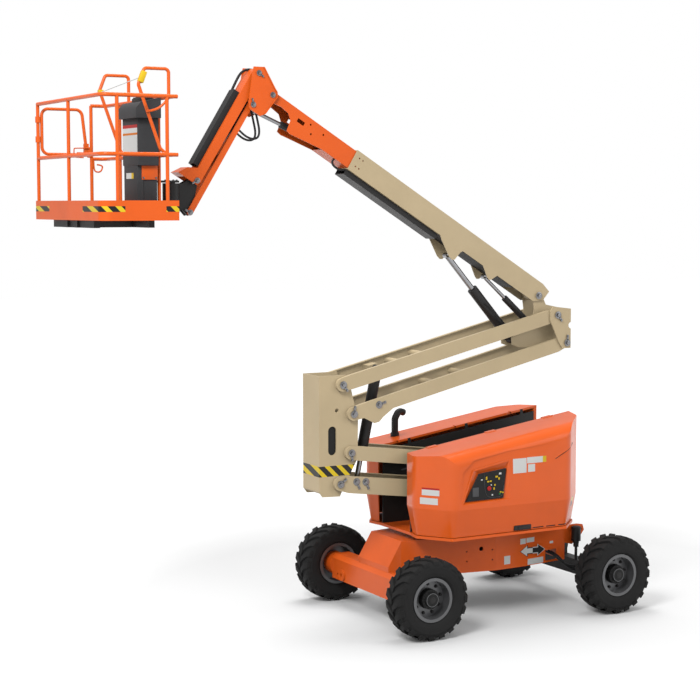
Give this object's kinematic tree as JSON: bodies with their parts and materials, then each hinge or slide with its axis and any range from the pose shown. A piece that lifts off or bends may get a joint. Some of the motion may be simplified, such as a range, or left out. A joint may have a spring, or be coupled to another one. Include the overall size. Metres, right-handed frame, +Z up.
{
  "type": "articulated boom lift",
  "caption": "Self-propelled articulated boom lift with a folding tower, telescopic boom, jib and railed work platform on a four-wheel chassis.",
  "frame": {"origin": "on the ground, at the middle of the outline seen from above", "axes": "+X toward the steered axle, +Y to the left, +Z up"},
  "size_m": [6.1856, 2.3, 5.7597],
  "materials": {
    "orange_paint": "gloss",
    "orange_cover": "gloss",
    "beige_paint": "satin",
    "black_paint": "satin",
    "chrome": "polished",
    "engine_iron": "matte",
    "cast_iron": "gloss",
    "grey_plastic": "matte",
    "tyre_rubber": "matte",
    "rim_steel": "satin"
  },
  "bodies": {
    "chassis": {"chassis_frame": "orange_paint", "drive_axle": "orange_paint", "steer_axle": "black_paint", "slew_ring": "black_paint", "lockout_cylinders": "black_paint"},
    "knuckle_left": {"knuckle_left": "black_paint"},
    "knuckle_right": {"knuckle_right": "black_paint"},
    "tie_rod": {"tie_rod": "black_paint"},
    "turntable": {"turntable_frame": "orange_paint", "inner_panels": "black_paint", "counterweight": "cast_iron", "engine_block": "engine_iron"},
    "hood_left": {"hood_left": "orange_cover", "exhaust": "black_paint"},
    "hood_right": {"hood_right": "orange_cover", "ground_control": "grey_plastic"},
    "lower_boom": {"lower_boom": "beige_paint"},
    "lower_link": {"lower_link": "beige_paint"},
    "upright": {"upright": "beige_paint"},
    "mid_boom": {"mid_boom": "beige_paint"},
    "mid_link": {"mid_link": "beige_paint"},
    "riser": {"riser": "beige_paint"},
    "main_boom": {"main_boom": "beige_paint", "boom_tray": "black_paint"},
    "fly": {"fly_boom": "orange_paint"},
    "bellcrank": {"bellcrank": "orange_paint"},
    "jib_arm": {"jib_arm": "orange_paint", "jib_guard": "black_paint"},
    "jib_link": {"jib_link": "orange_paint"},
    "rotator": {"rotator": "black_paint"},
    "platform": {"platform_support": "black_paint", "platform_floor": "orange_paint", "guard_rails": "orange_paint", "console": "grey_plastic", "trip_bars": "orange_paint"},
    "gate": {"gate": "orange_paint"},
    "tower_barrel": {"tower_barrel": "black_paint"},
    "tower_rod": {"tower_rod": "chrome"},
    "lift_barrel": {"lift_barrel": "black_paint"},
    "lift_rod": {"lift_rod": "chrome"},
    "master_barrel": {"master_barrel": "black_paint"},
    "master_rod": {"master_rod": "chrome"},
    "slave_barrel": {"slave_barrel": "black_paint"},
    "slave_rod": {"slave_rod": "chrome"},
    "jib_barrel": {"jib_barrel": "black_paint"},
    "jib_rod": {"jib_rod": "chrome"},
    "wheel_drive_left": {"tyre_drive_left": "tyre_rubber", "rim_drive_left": "rim_steel"},
    "wheel_drive_right": {"tyre_drive_right": "tyre_rubber", "rim_drive_right": "rim_steel"},
    "wheel_steer_left": {"tyre_steer_left": "tyre_rubber", "rim_steer_left": "rim_steel"},
    "wheel_steer_right": {"tyre_steer_right": "tyre_rubber", "rim_steer_right": "rim_steel"}
  },
  "joints": [
    {"name": "swing", "type": "hinge", "parent": "chassis", "child": "turntable", "pos_m": [1.49326, 0, 0.9], "axis": [0, 0, 1], "range_deg": [-177.5, 177.5]},
    {"name": "tower_lift", "type": "hinge", "parent": "turntable", "child": "lower_boom", "pos_m": [2.47826, 0, 1.154], "axis": [0, 1, 0], "range_deg": [-10, 52]},
    {"name": "lower_link_turn", "type": "hinge", "parent": "turntable", "child": "lower_link", "pos_m": [2.60826, 0, 1.47], "axis": [0, 1, 0], "range_deg": [-10.5, 52.5]},
    {"name": "upright_level", "type": "hinge", "parent": "lower_boom", "child": "upright", "pos_m": [-0.26047, 0, 1.51942], "axis": [0, 1, 0], "range_deg": [-52.5, 10.5]},
    {"name": "mid_boom_turn", "type": "hinge", "parent": "upright", "child": "mid_boom", "pos_m": [-0.10247, 0, 2.23942], "axis": [0, -1, 0], "range_deg": [-10.5, 52.5]},
    {"name": "mid_link_turn", "type": "hinge", "parent": "upright", "child": "mid_link", "pos_m": [-0.23147, 0, 2.55042], "axis": [0, -1, 0], "range_deg": [-10.5, 52.5]},
    {"name": "riser_level", "type": "hinge", "parent": "mid_boom", "child": "riser", "pos_m": [2.58643, 0, 2.87505], "axis": [0, 1, 0], "range_deg": [-10.5, 52.5]},
    {"name": "tower_barrel_turn", "type": "hinge", "parent": "mid_link", "child": "tower_barrel", "pos_m": [0.29892, 0, 2.6758], "axis": [0, -1, 0], "range_deg": [-42.86, 8.65]},
    {"name": "tower_rod_slide", "type": "slide", "parent": "tower_barrel", "child": "tower_rod", "axis": [-0.2066, 0, -0.9784], "range_m": [-0.1203, 0.6173]},
    {"name": "main_lift", "type": "hinge", "parent": "riser", "child": "main_boom", "pos_m": [2.28043, 0, 3.40005], "axis": [0, 1, 0], "range_deg": [-31.4, 41]},
    {"name": "lift_barrel_turn", "type": "hinge", "parent": "riser", "child": "lift_barrel", "pos_m": [2.00543, 0, 2.91105], "axis": [0, -1, 0], "range_deg": [-34.49, 26.53]},
    {"name": "lift_rod_slide", "type": "slide", "parent": "lift_barrel", "child": "lift_rod", "axis": [-0.666, 0, 0.746], "range_m": [-0.306, 0.399]},
    {"name": "master_barrel_turn", "type": "hinge", "parent": "riser", "child": "master_barrel", "pos_m": [2.26743, 0, 3.06605], "axis": [0, -1, 0], "range_deg": [-31.09, 23.93]},
    {"name": "master_rod_slide", "type": "slide", "parent": "master_barrel", "child": "master_rod", "axis": [-0.7504, 0, 0.661], "range_m": [-0.1401, 0.1823]},
    {"name": "telescope", "type": "slide", "parent": "main_boom", "child": "fly", "axis": [-0.8536, 0, 0.521], "range_m": [-0.34, 1.5]},
    {"name": "slave_barrel_turn", "type": "hinge", "parent": "fly", "child": "slave_barrel", "pos_m": [-0.26629, 0, 4.96863], "axis": [0, -1, 0], "range_deg": [-1.45, 1.74]},
    {"name": "slave_rod_slide", "type": "slide", "parent": "slave_barrel", "child": "slave_rod", "axis": [-0.9229, 0, 0.3851], "range_m": [-0.1422, 0.1094]},
    {"name": "head_level", "type": "hinge", "parent": "fly", "child": "bellcrank", "pos_m": [-0.98042, 0, 5.48773], "axis": [0, 1, 0], "range_deg": [-41.5, 31.9]},
    {"name": "jib_lift", "type": "hinge", "parent": "bellcrank", "child": "jib_arm", "pos_m": [-1.13042, 0, 5.69773], "axis": [0, 1, 0], "range_deg": [-1.5, 142]},
    {"name": "jib_link_turn", "type": "hinge", "parent": "bellcrank", "child": "jib_link", "pos_m": [-1.19642, 0, 5.38572], "axis": [0, 1, 0], "range_deg": [-2, 142.5]},
    {"name": "rotator_level", "type": "hinge", "parent": "jib_arm", "child": "rotator", "pos_m": [-1.78726, 0, 4.63421], "axis": [0, 1, 0], "range_deg": [-142.5, 2]},
    {"name": "jib_barrel_turn", "type": "hinge", "parent": "bellcrank", "child": "jib_barrel", "pos_m": [-1.19642, 0, 5.38572], "axis": [0, -1, 0], "range_deg": [-139.36, 1.97]},
    {"name": "jib_rod_slide", "type": "slide", "parent": "jib_barrel", "child": "jib_rod", "axis": [-0.6344, 0, -0.773], "range_m": [-0.0086, 0.6263]},
    {"name": "platform_rotate", "type": "hinge", "parent": "rotator", "child": "platform", "pos_m": [-2.02526, 0, 4.47421], "axis": [0, 0, 1], "range_deg": [-90, 90]},
    {"name": "gate_swing", "type": "hinge", "parent": "platform", "child": "gate", "pos_m": [-3.06726, 0.89, 4.85221], "axis": [0, 0, -1], "range_deg": [0, 80]},
    {"name": "hood_left_lift", "type": "hinge", "parent": "turntable", "child": "hood_left", "pos_m": [1.53361, 0.294, 1.9541], "axis": [0.9885, 0, 0.151], "range_deg": [0, 55]},
    {"name": "hood_right_lift", "type": "hinge", "parent": "turntable", "child": "hood_right", "pos_m": [1.53361, -0.294, 1.9541], "axis": [-0.9885, 0, -0.151], "range_deg": [0, 55]},
    {"name": "steer", "type": "hinge", "parent": "chassis", "child": "knuckle_left", "pos_m": [2.67326, 0.74, 0.419], "axis": [0, 0, 1], "range_deg": [-36, 36]},
    {"name": "steer_right", "type": "hinge", "parent": "chassis", "child": "knuckle_right", "pos_m": [2.67326, -0.74, 0.419], "axis": [0, 0, 1], "range_deg": [-36.5, 36.5]},
    {"name": "tie_rod_turn", "type": "hinge", "parent": "knuckle_left", "child": "tie_rod", "pos_m": [2.82326, 0.74, 0.4], "axis": [0, 0, 1], "range_deg": [-36.5, 36.5]},
    {"name": "wheel_drive_left_spin", "type": "hinge", "parent": "chassis", "child": "wheel_drive_left", "pos_m": [0.31326, 1, 0.419], "axis": [0, 1, 0], "continuous": true},
    {"name": "wheel_drive_right_spin", "type": "hinge", "parent": "chassis", "child": "wheel_drive_right", "pos_m": [0.31326, -1, 0.419], "axis": [0, 1, 0], "continuous": true},
    {"name": "wheel_steer_left_spin", "type": "hinge", "parent": "knuckle_left", "child": "wheel_steer_left", "pos_m": [2.67326, 1, 0.419], "axis": [0, 1, 0], "continuous": true},
    {"name": "wheel_steer_right_spin", "type": "hinge", "parent": "knuckle_right", "child": "wheel_steer_right", "pos_m": [2.67326, -1, 0.419], "axis": [0, 1, 0], "continuous": true}
  ],
  "couplings": [
    {"joint": "lower_link_turn", "follows": "tower_lift", "ratio": 1},
    {"joint": "upright_level", "follows": "tower_lift", "ratio": -1},
    {"joint": "mid_boom_turn", "follows": "tower_lift", "ratio": 1},
    {"joint": "mid_link_turn", "follows": "tower_lift", "ratio": 1},
    {"joint": "riser_level", "follows": "tower_lift", "ratio": 1},
    {"joint": "tower_barrel_turn", "follows": "tower_lift", "ratio": -0.81461},
    {"joint": "tower_rod_slide", "follows": "tower_lift", "m_per_rad": 0.67799},
    {"joint": "lift_barrel_turn", "follows": "main_lift", "ratio": -0.82907},
    {"joint": "lift_rod_slide", "follows": "main_lift", "m_per_rad": 0.55476},
    {"joint": "master_barrel_turn", "follows": "main_lift", "ratio": -0.74617},
    {"joint": "master_rod_slide", "follows": "main_lift", "m_per_rad": 0.25192},
    {"joint": "slave_barrel_turn", "follows": "main_lift", "ratio": 0.030139},
    {"joint": "slave_rod_slide", "follows": "main_lift", "m_per_rad": -0.19596},
    {"joint": "head_level", "follows": "main_lift", "ratio": -1},
    {"joint": "jib_link_turn", "follows": "jib_lift", "ratio": 1},
    {"joint": "rotator_level", "follows": "jib_lift", "ratio": -1},
    {"joint": "jib_barrel_turn", "follows": "jib_lift", "ratio": -0.97792},
    {"joint": "jib_rod_slide", "follows": "jib_lift", "m_per_rad": 0.25188},
    {"joint": "steer_right", "follows": "steer", "ratio": 1},
    {"joint": "tie_rod_turn", "follows": "steer", "ratio": -1}
  ]
}
